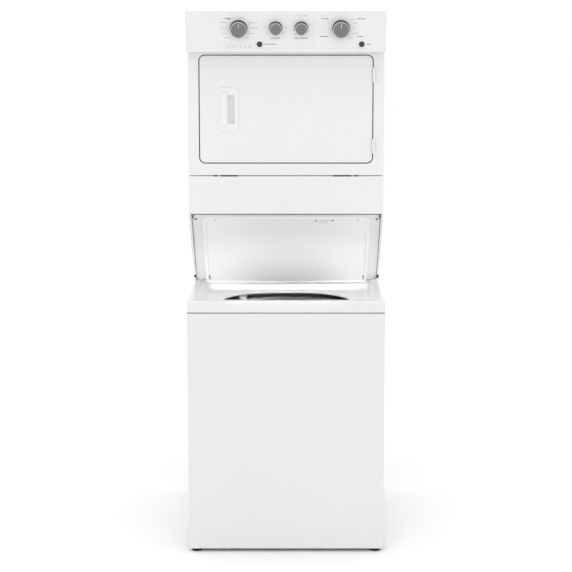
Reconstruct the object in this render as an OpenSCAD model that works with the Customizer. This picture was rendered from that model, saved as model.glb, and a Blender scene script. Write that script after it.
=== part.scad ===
// One-piece laundry centre: a side-swing dryer on a stand above a top-load washer, with the washer lid
// standing open. +X is the viewer's right, +Y goes back, +Z is up, and the floor is z = 0.
// Inside the modules y is the distance back from the washer's front panel.

/* [Overall] */
// Width of the cabinets
width = 692; // [680:1:710]
// Depth over the exhaust stub
depth = 821; // [815:1:830]
// Height of the console's top sheet above the floor
height = 1905; // [1900:1:1930]
// Gap between the floor and the cabinet's bottom edge
foot_gap = 12; // [10:1:20]
// Thickness of the cabinet sheet
sheet = 1.2; // [1:0.1:2]

/* [Washer] */
// Depth of the washer cabinet
washer_depth = 655; // [640:1:658]
// Height of the washer cabinet's top edge
cabinet_top = 862; // [855:1:870]
// Height of the deck's rim
deck_top = 905; // [900:1:910]
// Radius of the cabinet's front corners
corner_r = 12; // [8:1:16]
// Half-width of the deck's well
well_half = 311; // [300:1:315]
// Half-width of the loading opening
mouth_half_w = 228; // [215:1:235]
// Half-depth of the loading opening
mouth_half_d = 183; // [175:1:188]
// Corner radius of the loading opening
mouth_r = 180; // [150:1:182]

/* [Lid] */
// Half-width of the lid
lid_half = 337; // [330:0.5:337]
// Length of the lid from its hinge axis to its tip
lid_length = 396; // [380:1:396]
// Angle at which the lid stands open
lid_open = 45; // [40:1:45]
// Half-width of the lid's inner panel
liner_half = 300; // [285:1:303]

/* [Tub] */
// Distance of the tub's axis behind the washer's front panel
tub_y = 313; // [310:1:320]
// Outer radius of the tub
tub_r = 290; // [280:1:292]
// Outer radius of the basket
basket_r = 257; // [250:1:257]
// Radius of the large drive pulley
big_pulley_r = 95; // [80:1:100]
// Radius of the motor's pulley
small_pulley_r = 19; // [15:1:24]
// Radius of the tub bearings' bore
spin_tube_r = 25; // [20:1:28]
// Radial clearance of every turning shaft
running = 0.05; // [0.02:0.01:0.08]

/* [Dryer] */
// Distance of the dryer's front panel behind the washer's
dryer_front_y = 167; // [160:1:175]
// Height of the dryer's bottom edge
dryer_bottom = 1328; // [1326:1:1332]
// Radius of the drum
drum_r = 262; // [250:1:262]
// Height of the drum's axis
drum_z = 1625; // [1622:1:1628]
// Half-width of the door
door_half = 304.8; // [300:0.1:305]
// Height of the door's bottom edge
door_bottom = 1373.7; // [1370:0.1:1376]
// Height of the door's top edge
door_top = 1751.3; // [1748:0.1:1753]
// Radius of the exhaust pipe
exhaust_r = 50.8; // [50:0.1:51]

/* [Console] */
// Distance of the console's lower front edge behind the washer's front panel
console_foot_y = 92; // [88:1:96]
// Height of the console's lower edge
console_foot_z = 1764; // [1762:1:1766]
// Angle at which the console leans out over its foot
console_tilt = 13.65; // [10:0.05:16]
// Radius of the two large knobs
large_knob_r = 30.5; // [28:0.5:32]
// Radius of the two small knobs
small_knob_r = 23.4; // [21:0.1:25]
// Radius of the start buttons
button_r = 9.6; // [8:0.1:11]

/* [Hidden] */
$fn = 64;
cut = 1;                                   // how far a cutting shape reaches past a face
half = width / 2;
white = [0.95, 0.95, 0.95];
grey = [0.45, 0.46, 0.48];
steel = [0.72, 0.73, 0.75];
black = [0.08, 0.08, 0.09];

base_top = 40;                             // top of the base's rails
seam = 1.5;                                // gap between the washer cabinet and its top
deck_t = 1.8;                              // thickness of the deck's sheet
well_floor = 865;                          // upper face of the well's floor
ledge_z = 889;                             // upper face of the finger ledge in front of the lid
mouth_y = 247;                             // centre of the loading opening
mouth_lip = 16;                            // depth of the rolled lip round the opening
well_front = 32;                           // front edge of the well
well_back = 470;                           // rear edge of the well

hinge_y = 463;                             // lid hinge axis
hinge_z = 913;
lid_under = 5;                             // the lid's underside lies this far below its axis
lid_thick = 14;
hinge_pin_r = 3;
strike_x = 136;

foot_x = 318;
foot_ys = [26, 778];
rod_x_off = 275;
rod_y_off = 245;
ear_z = 300;
cup_z = 210;
rod_top = 840;
inlet_xs = [-220, -170];                   // the two water inlets
inlet_z = 1120;
motor_at = [170, 430];                     // washer motor's axis
pulley_z = [104, 120];

stand_back = 800;                          // rear face of the stand and the dryer
leg_front = 656;                           // front edge of the stand's rear legs
slope_top = [167, 1190];                   // upper end of the stand's sloping front edge
slope_foot = [450, 905];                   // lower end of that edge
fascia_return = 20;
fascia_top = 1326;
stand_flange = 8;
flange_w = 15;

face_up = [0, -sin(console_tilt), cos(console_tilt)];
knob_gap = 0.8;
stem_r = 5;
knob_v = 84.5;                             // height of the large knobs up the console's face
small_knob_v = 86.5;
button_v = 29;
washer_knob_x = -163;
temp_knob_x = -35.5;
load_knob_x = 53;
dryer_knob_x = 190;
washer_button_x = -91;
dryer_button_x = 262;

door_y = dryer_front_y;
door_axis = [309, 161];                    // the door's hinge line, in plan
door_r = 19;
door_gap = 3.2;                            // gap all round the door, inside its recess
hinge_zs = [1407, 1658];
knuckle = 52;                              // height of one door hinge
knuckle_r = 5;
drum_ys = [224, 640];
fan_at = [255, 1405];                      // axis of the dryer motor and blower
fan_pulley_r = 14;
roller_r = 24;
roller_angle = 35;
roller_dist = drum_r + roller_r + 0.3;
exhaust_at = [105, 1392];
screen_half = 75;

// ---- shared shapes ----

// Moves a node from the washer's front panel to the centre of the depth.
module framed() translate([0, -depth / 2, 0]) children();

module block(lo, hi) translate(lo) cube(hi - lo);

module both_sides() { children(); mirror([1, 0, 0]) children(); }

module rod_x(r, x0, x1, y, z) translate([x0, y, z]) rotate([0, 90, 0]) cylinder(r = r, h = x1 - x0);

module rod_y(r, y0, y1, x, z) translate([x, y0, z]) rotate([-90, 0, 0]) cylinder(r = r, h = y1 - y0);

module rod_z(r, z0, z1, x, y) translate([x, y, z0]) cylinder(r = r, h = z1 - z0);

// A rectangle centred on the origin with true arcs at its corners.
module soft_rect(w, h, r) {
    square([w - 2 * r, h], center = true);
    square([w, h - 2 * r], center = true);
    for (sx = [-1, 1], sy = [-1, 1]) translate([sx * (w / 2 - r), sy * (h / 2 - r)]) circle(r);
}

// A soft rectangle standing in the XZ plane, from y0 back to y1.
module slab_y(x0, x1, z0, z1, r, y0, y1) {
    translate([(x0 + x1) / 2, y1, (z0 + z1) / 2]) rotate([90, 0, 0])
        linear_extrude(y1 - y0) soft_rect(x1 - x0, z1 - z0, r);
}

// A side-view outline, given as [y, z] points, drawn out along X.
module along_x(points, x0, x1) translate([x0, 0, 0]) rotate([90, 0, 90])
    linear_extrude(x1 - x0) polygon(points);

// The cabinet's plan: round corners at the front, square at the back.
module plan(inset, back) {
    r = corner_r - inset;
    translate([-half + inset, corner_r]) square([width - 2 * inset, back - corner_r]);
    translate([-half + corner_r, inset]) square([width - 2 * corner_r, corner_r]);
    for (s = [-1, 1]) translate([s * (half - corner_r), corner_r]) circle(r);
}

module plan_prism(inset, back, z0, z1) translate([0, 0, z0]) linear_extrude(z1 - z0) plan(inset, back);

// ---- washer cabinet ----

module washer_cabinet() color(white) framed() {
    difference() {
        plan_prism(0, washer_depth, foot_gap, cabinet_top);
        plan_prism(sheet, washer_depth + cut, foot_gap - cut, cabinet_top + cut);
    }
    difference() {
        plan_prism(sheet, washer_depth, foot_gap, foot_gap + sheet);
        block([-half + sheet + flange_w, sheet + flange_w, foot_gap - cut],
              [half - sheet - flange_w, washer_depth + cut, foot_gap + 2 * sheet]);
    }
    both_sides() block([half - 26, washer_depth - sheet, base_top + 0.2],
                       [half - sheet, washer_depth, cabinet_top]);
}

module washer_base() color(grey) framed() {
    out_x = 336;
    back = 796;
    z0 = foot_gap + sheet;
    difference() {
        union() {
            difference() {
                block([-out_x, 4, z0], [out_x, back, base_top]);
                block([-out_x + 2, 6, z0 + 3], [out_x - 2, back - 2, base_top + cut]);
            }
            for (x = [-foot_x, foot_x], y = foot_ys) rod_z(14, z0, base_top, x, y);
        }
        block([-300, 44, z0 - cut], [300, 620, base_top]);
        block([-300, 660, z0 - cut], [300, 756, base_top]);
        for (x = [-foot_x, foot_x], y = foot_ys) rod_z(5.2, z0 - cut, base_top + cut, x, y);
    }
}

module levelling_feet() color(black) framed()
    for (x = [-foot_x, foot_x], y = foot_ys) {
        rod_z(18, 0, 5, x, y);
        rod_z(13, 5, 8, x, y);
        rod_z(5, 8, 50, x, y);
        translate([x, y, 8]) cylinder(r = 10, h = foot_gap + sheet - 8, $fn = 6);
    }

module mouth(inset, z0, z1) translate([0, mouth_y, z0]) linear_extrude(z1 - z0)
    soft_rect(2 * (mouth_half_w - inset), 2 * (mouth_half_d - inset), mouth_r - inset);

module washer_top() color(white) framed() {
    lip_t = 3;
    void = [[well_front + 2, deck_top + cut], [well_front + 4, ledge_z], [80, ledge_z],
            [100, well_floor], [well_back - 15, well_floor], [well_back, deck_top + cut]];
    tray = [[well_front, deck_top], [well_front + 2, ledge_z - 2], [79, ledge_z - 2],
            [99, well_floor - 2], [well_back - 13, well_floor - 2], [well_back + 2, deck_top]];
    difference() {
        union() {
            difference() {
                plan_prism(0, washer_depth, cabinet_top + seam, deck_top);
                plan_prism(deck_t, washer_depth - deck_t, cabinet_top, deck_top - deck_t);
            }
            difference() {
                plan_prism(sheet + 0.1, washer_depth - 30, cabinet_top - 10, cabinet_top + seam);
                plan_prism(sheet + 1.9, washer_depth, cabinet_top - 10 - cut, cabinet_top + 2 * seam);
            }
            along_x(tray, -well_half - 2, well_half + 2);
            mouth(-lip_t, well_floor - mouth_lip, well_floor);
        }
        along_x(void, -well_half, well_half);
        mouth(0, well_floor - mouth_lip - cut, well_floor + cut);
    }
}

module fill_nozzle() color(white) framed() {
    block([-176, 366, 828], [-148, 414, 842.5]);
    block([-176, 406, 842.5], [-148, 414, well_floor - 2]);
}

module rods_at() for (sx = [-1, 1], sy = [-1, 1])
    translate([sx * rod_x_off, tub_y + sy * rod_y_off, 0]) children();

module suspension_rods() color(steel) framed() {
    rods_at() {
        rod_z(5, cup_z - 5, rod_top, 0, 0);
        rod_z(18, cup_z - 5, cup_z, 0, 0);
    }
    for (sx = [-1, 1], y = [tub_y - rod_y_off, tub_y + rod_y_off]) {
        reach = half - sheet;
        block([min(sx * (rod_x_off - 14), sx * reach), y - 18, rod_top],
              [max(sx * (rod_x_off - 14), sx * reach), y + 18, rod_top + 5]);
    }
}

// Points of one coil: rings of wire_sides points round a helix.
wire_sides = 6;
coil_turns = 5;
coil_steps = 10;
coil_r = 12;
wire_r = 2.4;
coil_rings = coil_turns * coil_steps;
coil_rise = ear_z - cup_z - 2 * wire_r;
function coil_point(i, j) =
    let (a = 360 * i / coil_steps, b = 360 * j / wire_sides, r = coil_r + wire_r * cos(b))
    [r * cos(a), r * sin(a), cup_z + wire_r + coil_rise * i / coil_rings + wire_r * sin(b)];
coil_points = [for (i = [0 : coil_rings], j = [0 : wire_sides - 1]) coil_point(i, j)];
coil_skin = [for (i = [0 : coil_rings - 1], j = [0 : wire_sides - 1], upper = [false, true])
    let (n = (j + 1) % wire_sides, a = i * wire_sides, b = a + wire_sides)
    upper ? [a + j, b + n, b + j] : [a + j, a + n, b + n]];
coil_first = [for (j = [0 : wire_sides - 1]) wire_sides - 1 - j];
coil_last = [for (j = [0 : wire_sides - 1]) coil_rings * wire_sides + j];

module suspension_springs() color(steel) framed() rods_at()
    polyhedron(coil_points, concat([coil_first], coil_skin, [coil_last]));

module drain_pump() color(black) framed() {
    x = -180;
    y = 570;
    difference() {
        union() {
            rod_z(45, 16.2, 96, x, y);
            rod_z(28, 96, 140, x, y);
            rod_y(13, y, 802, x, 70);
            rod_y(15, 800, 816, x, 70);
            block([-240, y + 60, 13.2], [-120, y + 80, 55]);
            block([x - 20, y, 13.2 + 3], [x + 20, y + 80, 40]);
        }
        rod_y(11, y + 48, 816 + cut, x, 70);
        block([-300, 660, 0], [300, 700, 40]);
        block([-241, 620, 0], [-119, 660, 16.2]);
    }
}

module inlet_valve() color(grey) framed() {
    block([-245, 772, 1090], [-145, 796.8, 1150]);
    for (x = inlet_xs) difference() {
        union() {
            rod_y(12, 796.8, 800, x, inlet_z);
            rod_y(13.3, 799, 817, x, inlet_z);
        }
        rod_y(9, 797, 817 + cut, x, inlet_z);
    }
}

// ---- lid: drawn shut, then turned up about its hinge ----

// Shut-lid coordinates: y is minus the distance from the hinge, z is the height above the axis.
module lid_frame() framed() translate([0, hinge_y, hinge_z]) rotate([-lid_open, 0, 0]) children();

module lid_hinge_pins() color(black) framed() both_sides() {
    rod_x(hinge_pin_r, 320, half - 2, hinge_y, hinge_z);
    rod_x(5, half - 2, half, hinge_y, hinge_z);
}

module washer_lid() color(white) lid_frame() {
    t = sheet;
    rear = -4;
    flange = 44;
    top = lid_thick - lid_under;
    difference() {
        union() {
            difference() {
                block([-lid_half, -lid_length, -lid_under], [lid_half, -rear, top]);
                block([-lid_half + t, -lid_length + t, -lid_under + t], [lid_half - t, -rear - t, top - t]);
                block([-lid_half + flange, -lid_length + 18, -lid_under - cut], [lid_half - flange, -8, 0]);
            }
            both_sides() rod_x(4.9, 319, lid_half - t / 2, 0, 0);
        }
        both_sides() rod_x(hinge_pin_r + running, 318, lid_half + cut, 0, 0);
    }
}

module lid_liner() color(white) lid_frame() {
    t = 2.5;
    outer = [[-380, -lid_under], [-374, -16], [-40, -32], [-12, -38], [-6, -30], [-6, -lid_under]];
    inner = [[-377, -lid_under + cut], [-372, -14], [-40, -32 + t], [-14, -38 + t],
             [-6 - t, -29], [-6 - t, -lid_under + cut]];
    difference() {
        along_x(outer, -liner_half, liner_half);
        along_x(inner, -liner_half + t, liner_half - t);
    }
}

module lid_bumpers() color(black) lid_frame() both_sides() {
    rod_z(4.5, -lid_under - 2.7, -lid_under, 324, -366);
    block([331, -388, -lid_under - 2.5], [336, -374, -lid_under]);
}

module lid_strike() color(steel) lid_frame() {
    tip = -366;
    skin = -17.1;                          // the inner panel's face under the strike's foot
    block([strike_x - 34, tip, skin - 1.6], [strike_x + 34, tip + 14, skin]);
    for (x = [strike_x - 28, strike_x + 28]) rod_z(3.5, skin - 3, skin - 1.6, x, tip + 7);
    difference() {
        block([strike_x - 12, tip + 4, skin - 14], [strike_x + 12, tip + 8, skin - 1.6]);
        block([strike_x - 7, tip + 3, skin - 9], [strike_x + 7, tip + 9, skin - 1.6]);
    }
}

// ---- tub, basket and drive ----

module on_tub_axis() framed() translate([0, tub_y, 0]) children();

module outer_tub() color(grey) on_tub_axis() difference() {
    union() {
        rotate_extrude() polygon([[40, 250], [tub_r, 250], [tub_r, 812], [tub_r - 3, 812],
                                  [tub_r - 3, 254], [40, 254]]);
        for (sx = [-1, 1], sy = [-1, 1]) rotate(atan2(sy * rod_y_off, sx * rod_x_off))
            block([tub_r - 2, -20, ear_z], [norm([rod_x_off, rod_y_off]) + 18, 20, ear_z + 6]);
    }
    for (sx = [-1, 1], sy = [-1, 1]) rod_z(7, ear_z - cut, ear_z + 6 + cut, sx * rod_x_off, sy * rod_y_off);
}

module tub_ring() color(steel) on_tub_axis() rotate_extrude()
    polygon([[258, 814], [262, 812], [tub_r, 812], [tub_r + 2, 812], [tub_r + 2, 819],
             [tub_r - 3, 822], [262, 822], [258, 820]]);

module gearcase() color(steel) on_tub_axis() difference() {
    union() {
        rod_z(85, 160, 250, 0, 0);
        rod_z(60, 128, 160, 0, 0);
        rod_z(39.5, 250, 272, 0, 0);
    }
    rod_z(spin_tube_r + running, 152, 272 + cut, 0, 0);
    rod_z(10 + running, 128 - cut, 150, 0, 0);
}

module washer_motor() color(grey) on_tub_axis() {
    x = motor_at[0];
    y = motor_at[1] - tub_y;
    difference() {
        union() {
            rod_z(62, 140, 225, x, y);
            rod_z(50, 128, 140, x, y);
            block([x - 40, y - 20, 225], [x + 40, y + 20, 250]);
        }
        rod_z(7 + running, 128 - cut, 152, x, y);
    }
}

module belt_outline(a, ra, b, rb) hull() {
    translate(a) circle(ra);
    translate(b) circle(rb);
}

module washer_belt() color(black) on_tub_axis() {
    to = [motor_at[0], motor_at[1] - tub_y];
    translate([0, 0, pulley_z[0] + 3]) linear_extrude(10) difference() {
        belt_outline([0, 0], big_pulley_r + 4.5, to, small_pulley_r + 4.5);
        belt_outline([0, 0], big_pulley_r + 0.5, to, small_pulley_r + 0.5);
    }
}

module basket() color(steel) on_tub_axis() rotate_extrude()
    polygon([[12 + running, 154], [spin_tube_r, 154], [spin_tube_r, 276], [60, 276], [60, 286],
             [basket_r - 14, 290], [basket_r, 304], [basket_r, 798], [basket_r - 1.8, 798],
             [basket_r - 1.8, 305], [basket_r - 15, 292], [58, 290], [12 + running, 290]]);

module balance_ring() color(grey) on_tub_axis() rotate_extrude()
    polygon([[228, 802], [232, 798], [basket_r, 798], [basket_r, 806], [basket_r - 4, 810], [232, 810]]);

module agitator() color(grey) on_tub_axis() {
    rod_z(12, 156, 300, 0, 0);
    rotate_extrude() polygon([[0, 296], [150, 296], [150, 304], [110, 318], [70, 350], [50, 420],
                              [46, 560], [48, 700], [40, 720], [0, 724]]);
    for (a = [0 : 90 : 270]) rotate(a) rotate([90, 0, 0]) translate([0, 0, -3])
        linear_extrude(6) polygon([[30, 300], [148, 300], [144, 330], [96, 372], [78, 500], [30, 520]]);
}

module drive_pulley() color(steel) on_tub_axis() {
    rod_z(10, 120, 148, 0, 0);
    rod_z(14, 100, 126, 0, 0);
    difference() {
        rod_z(big_pulley_r, pulley_z[0], pulley_z[1], 0, 0);
        for (a = [0 : 60 : 300]) rotate(a) rod_z(20, pulley_z[0] - cut, pulley_z[1] + cut, 52, 0);
    }
}

module motor_pulley() color(steel) on_tub_axis() {
    x = motor_at[0];
    y = motor_at[1] - tub_y;
    rod_z(7, 116, 150, x, y);
    rod_z(small_pulley_r, pulley_z[0], pulley_z[1], x, y);
}

// ---- stand ----

slope_run = slope_foot - slope_top;
slope_n = [-slope_run[1], slope_run[0]] / norm(slope_run);
function slope_z(y, e) = slope_top[1] + (e - slope_n[0] * (y - slope_top[0])) / slope_n[1];
function slope_y(z, e) = slope_top[0] + (e - slope_n[1] * (z - slope_top[1])) / slope_n[0];
notch_y = slope_top[0] + fascia_return;
stand_outline = [slope_top, slope_foot, [leg_front, slope_foot[1]], [leg_front, foot_gap],
                 [stand_back, foot_gap], [stand_back, dryer_bottom], [notch_y, dryer_bottom],
                 [notch_y, slope_top[1]]];
function stand_inset(e) = [
    [notch_y + e, slope_z(notch_y + e, e)], [slope_y(slope_foot[1] + e, e), slope_foot[1] + e],
    [leg_front + e, slope_foot[1] + e], [leg_front + e, foot_gap + e], [stand_back - e, foot_gap + e],
    [stand_back - e, dryer_bottom - e], [notch_y + e, dryer_bottom - e]];

module stand_sides() color(white) framed() both_sides() difference() {
    union() {
        along_x(stand_outline, half - 1.5, half);
        difference() {
            along_x(stand_outline, half - stand_flange, half - 1);
            along_x(stand_inset(flange_w), half - stand_flange - cut, half);
        }
        rod_x(7.8, half - stand_flange, half - 1, hinge_y, hinge_z);
    }
    rod_x(hinge_pin_r, half - stand_flange - cut, half - 2, hinge_y, hinge_z);
    rod_x(5, half - 2, half + cut, hinge_y, hinge_z);
}

module backsplash() color(white) framed() {
    side = half - stand_flange - 0.1;
    top_y = 222;
    foot_y = 508;
    t = 1.5;
    along_x([[foot_y, deck_top], [top_y, slope_top[1]], [top_y, dryer_bottom],
             [top_y + t, dryer_bottom], [top_y + t, slope_top[1] + 0.6], [foot_y + 2 * t, deck_top]],
            -side, side);
}

module rear_panel() color(steel) framed() {
    side = half - stand_flange - 0.1;
    difference() {
        block([-side, 796.8, foot_gap + 30], [side, 798.2, dryer_bottom]);
        for (x = inlet_xs) rod_y(16, 796, 799, x, inlet_z);
        rod_y(17, 796, 799, -180, 70);
    }
}

module lower_fascia() color(white) framed() {
    t = 1.5;
    y = slope_top[0];
    difference() {
        block([-half, y, slope_top[1]], [half, y + fascia_return, fascia_top]);
        block([-half + t, y + t, slope_top[1] - cut], [half - t, y + fascia_return + cut, fascia_top + cut]);
    }
    block([-half + t, y + t, slope_top[1]], [half - t, y + 5, slope_top[1] + t]);
    block([-half + t, y + t, fascia_top - t], [half - t, y + fascia_return - 0.5, fascia_top]);
    block([-half + stand_flange + 0.2, y + fascia_return - 1, fascia_top - t],
          [half - stand_flange - 0.2, y + fascia_return + 34, fascia_top]);
}

// ---- dryer shell ----

module dryer_base() color(steel) framed() difference() {
    block([-half + 1.5, 190, dryer_bottom + sheet], [half - 1.5, 798.6, dryer_bottom + 6]);
    block([-half + 3, 192, dryer_bottom + sheet + 2], [half - 3, 796, dryer_bottom + 7]);
}

module dryer_cabinet() color(white) framed() difference() {
    union() {
        difference() {
            block([-half, 190, dryer_bottom], [half, stand_back, height - sheet]);
            block([-half + sheet, 190 - cut, dryer_bottom - cut],
                  [half - sheet, stand_back - sheet, height]);
        }
        both_sides() block([half - flange_w, 190, dryer_bottom], [half - sheet, stand_back - sheet,
                                                                  dryer_bottom + sheet]);
    }
    rod_y(exhaust_r + 2, 790, 802, exhaust_at[0], exhaust_at[1]);
    block([-280, 790, 1452], [-220, 802, 1508]);
}

// The loading opening: a soft rectangle trimmed to the drum's round.
module drum_mouth(inset, y0, y1) intersection() {
    slab_y(-185 + inset, 185 - inset, 1418 + inset, 1700 - inset, 40 - inset, y0, y1);
    rod_y(236 - inset, y0, y1, 0, drum_z);
}

module dryer_front() color(white) framed() {
    t = 1.5;
    top = console_foot_z - 0.5;
    bottom = dryer_bottom;
    recess = 20;
    difference() {
        union() {
            difference() {
                block([-half, door_y, bottom], [half, 190, top]);
                block([-half + t, door_y + t, bottom + t], [half - t, 190 + cut, top - t]);
            }
            slab_y(-door_half - door_gap - t, door_half + door_gap + t, door_bottom - door_gap - t,
                   door_top + door_gap + t, door_r + door_gap + t, door_y, door_y + recess + t);
        }
        slab_y(-door_half - door_gap, door_half + door_gap, door_bottom - door_gap,
               door_top + door_gap, door_r + door_gap, door_y - cut, door_y + recess);
        drum_mouth(0, door_y, 190 + cut);
    }
}

module dryer_top() color(white) framed()
    block([-half, 58, height - sheet], [half, stand_back, height]);

// ---- console ----

// Puts a child on the console's face: local x along it, y up it, z out of it.
module on_console(x, v) framed() translate([x, console_foot_y, console_foot_z] + v * face_up)
    rotate([90 + console_tilt, 0, 0]) children();

module console_fascia() color(white) {
    t = 3;
    top = height - sheet;
    rise = top - console_foot_z;
    lean = rise * tan(console_tilt);
    y = console_foot_y;
    difference() {
        framed() along_x([[y, console_foot_z], [y - lean, top], [y - lean + t, top],
                          [y + t - 0.6, console_foot_z + t], [189, console_foot_z + t],
                          [189, console_foot_z]], -half + t, half - t);
        for (k = [[washer_knob_x, knob_v], [dryer_knob_x, knob_v], [temp_knob_x, small_knob_v],
                  [load_knob_x, small_knob_v]])
            on_console(k[0], k[1]) translate([0, 0, -10]) cylinder(r = stem_r + running, h = 20);
        for (x = [washer_button_x, dryer_button_x])
            on_console(x, button_v) translate([0, 0, -10]) cylinder(r = button_r + 0.1, h = 20);
    }
    for (x = [washer_button_x, dryer_button_x]) on_console(x, button_v) difference() {
        translate([0, 0, -0.5]) cylinder(r = button_r + 2, h = 1.5);
        translate([0, 0, -1]) cylinder(r = button_r + 0.1, h = 3);
    }
}

module console_ends() color(white) framed() both_sides() {
    top = height - sheet;
    lean = (top - console_foot_z) * tan(console_tilt);
    along_x([[console_foot_y, console_foot_z], [console_foot_y - lean, top], [190, top],
             [190, console_foot_z]], half - 3, half);
}

// The switch bodies behind the console: two timers, two selectors and two push switches.
module control_switches() color(grey) {
    for (x = [washer_knob_x, dryer_knob_x]) on_console(x, knob_v) difference() {
        translate([-32, -32, -44]) cube([64, 64, 41]);
        translate([0, 0, -30]) cylinder(r = stem_r + running, h = 40);
    }
    for (x = [temp_knob_x, load_knob_x]) on_console(x, small_knob_v) difference() {
        translate([-20, -20, -30]) cube([40, 40, 27]);
        translate([0, 0, -20]) cylinder(r = stem_r + running, h = 30);
    }
    for (x = [washer_button_x, dryer_button_x]) on_console(x, button_v)
        translate([-12, -10, -26]) cube([24, 20, 14]);
}

module knob(r) {
    depth_out = r * 0.45 + 13;
    translate([0, 0, -18]) cylinder(r = stem_r, h = 20);
    rotate_extrude() polygon([[0, knob_gap], [r, knob_gap], [r, knob_gap + 4], [r - 2.5, knob_gap + 5.5],
                              [r - 5, depth_out - 2], [r - 7, depth_out], [0, depth_out]]);
    translate([-1.2, r * 0.25, depth_out - 0.5]) cube([2.4, r * 0.5, 1]);
}

module washer_cycle_knob() color(grey) on_console(washer_knob_x, knob_v) knob(large_knob_r);
module dryer_cycle_knob() color(grey) on_console(dryer_knob_x, knob_v) knob(large_knob_r);
module water_temp_knob() color(grey) on_console(temp_knob_x, small_knob_v) knob(small_knob_r);
module load_size_knob() color(grey) on_console(load_knob_x, small_knob_v) knob(small_knob_r);

module start_button(x) on_console(x, button_v) {
    translate([0, 0, -5]) cylinder(r = button_r, h = 9);
    translate([0, 0, -9]) cylinder(r = 3, h = 4);
}

module washer_start_button() color(black) start_button(washer_button_x);
module dryer_start_button() color(black) start_button(dryer_button_x);

// ---- dryer door ----

module door_hinge_frames() color(white) framed() for (z = hinge_zs) {
    for (part = [[0, 17], [35, knuckle]]) difference() {
        union() {
            rod_z(knuckle_r, z + part[0], z + part[1], door_axis[0], door_axis[1]);
            block([door_axis[0], door_axis[1], z + part[0]], [door_axis[0] + 7, door_y, z + part[1]]);
        }
        rod_z(2.5, z - cut, z + knuckle + cut, door_axis[0], door_axis[1]);
    }
    rod_z(2.5, z, z + knuckle, door_axis[0], door_axis[1]);
}

module door_hinge_leaves() color(white) framed() for (z = hinge_zs) difference() {
    union() {
        rod_z(knuckle_r, z + 17.3, z + 34.7, door_axis[0], door_axis[1]);
        block([door_axis[0] - 9, door_axis[1], z + 17.3], [door_axis[0] - 3.5, door_y, z + 34.7]);
        block([door_axis[0] - 5, door_axis[1] - 3, z + 17.3], [door_axis[0], door_axis[1] + 2, z + 34.7]);
    }
    rod_z(2.5 + running, z, z + knuckle, door_axis[0], door_axis[1]);
}

module dryer_door() color(white) framed() {
    t = 1.5;
    difference() {
        slab_y(-door_half, door_half, door_bottom, door_top, door_r, door_y, door_y + 16);
        slab_y(-door_half + t, door_half - t, door_bottom + t, door_top - t, door_r - t,
               door_y + t, door_y + 16 + cut);
        slab_y(-230, -177, 1494, 1630, 4, door_y - cut, door_y + 2 * t);
    }
}

module door_liner() color(white) framed() difference() {
    union() {
        slab_y(-door_half, door_half, door_bottom, door_top, door_r, door_y + 16, door_y + 18);
        drum_mouth(8, door_y + 18, 203);
    }
    drum_mouth(10, door_y + 16 - cut, 201);
}

module door_handle() color(white) framed() difference() {
    union() {
        slab_y(-238, -169, 1486, 1638, 6, door_y - 3, door_y);
        slab_y(-230, -177, 1494, 1630, 4, door_y, door_y + 15.5);
        slab_y(-229, -206, 1499, 1625, 11, door_y - 7, door_y - 3);
    }
    slab_y(-203, -182, 1512, 1612, 4, door_y - 8, door_y + 13.5);
    slab_y(-220, -182, 1512, 1612, 4, door_y + 4, door_y + 13.5);
}

// ---- drum, air path and drive ----

module drum() color(steel) framed() {
    wall = 1.5;
    y0 = drum_ys[0];
    y1 = drum_ys[1];
    translate([0, 0, drum_z]) rotate([-90, 0, 0]) rotate_extrude()
        polygon([[252, y0], [drum_r, y0], [drum_r, y1], [12, y1], [12, y1 + 22], [0, y1 + 22],
                 [0, y1 - 2], [drum_r - wall, y1 - 2], [drum_r - wall, y0 + 2], [252, y0 + 2]]);
    for (a = [30 : 120 : 270]) translate([0, 0, drum_z]) rotate([0, a, 0]) translate([0, y1 - 1, 0])
        rotate([90, 0, 0]) linear_extrude(y1 - y0 - 40)
            polygon([[drum_r - 4, -26], [drum_r - 2, 0], [drum_r - 4, 26], [196, 8], [194, 0], [196, -8]]);
}

module front_bulkhead() color(steel) framed() difference() {
    union() {
        difference() {
            block([-335, 190, 1336], [335, 192, 1898]);
            drum_mouth(0, 190 - cut, 193);
        }
        difference() {
            rod_y(250, 192, 236, 0, drum_z);
            rod_y(246, 192 - cut, 236 + cut, 0, drum_z);
        }
        for (s = [-1, 1]) rod_y(6, 192, 250, s * roller_dist * sin(roller_angle),
                                drum_z - roller_dist * cos(roller_angle));
    }
    block([-86, 193, 1330], [86, 240, 1420]);
}

module rear_bulkhead() color(steel) framed() difference() {
    union() {
        block([-335, 650, 1336], [335, 652, 1898]);
        rod_y(26, 642, 664, 0, drum_z);
    }
    rod_y(12 + running, 642 - cut, 664 + cut, 0, drum_z);
    rod_y(10, 649, 653, fan_at[0], fan_at[1]);
    block([-327, 649, 1334], [-223, 653, 1406]);
    for (a = [150 : 20 : 210], r = [140, 190]) rod_y(14, 649, 653, r * cos(a), drum_z + r * sin(a));
}

module roller(s) translate([s * roller_dist * sin(roller_angle), 0,
                            drum_z - roller_dist * cos(roller_angle)]) difference() {
    rod_y(roller_r, 229, 247, 0, 0);
    rod_y(6 + running, 228, 248, 0, 0);
}

module roller_left() color(black) framed() roller(-1);
module roller_right() color(black) framed() roller(1);

module duct_run(t) {
    block([-84 + t, 196 + t, 1336 + t], [84 - t, 221 - t, 1408 - t]);
    block([-325 + t, 196 + t, 1336 + t], [84 - t, 221 - t, 1378 - t]);
    block([-325 + t, 196 + t, 1336 + t], [-225 - t, 676 - t, 1404 - t]);
    block([-325 + t, 654 + t, 1336 + t], [325 - t, 676 - t, 1404 - t]);
    block([200 + t, 654 + t, 1336 + t], [325 - t, 676 - t, 1450 - t]);
}

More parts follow.
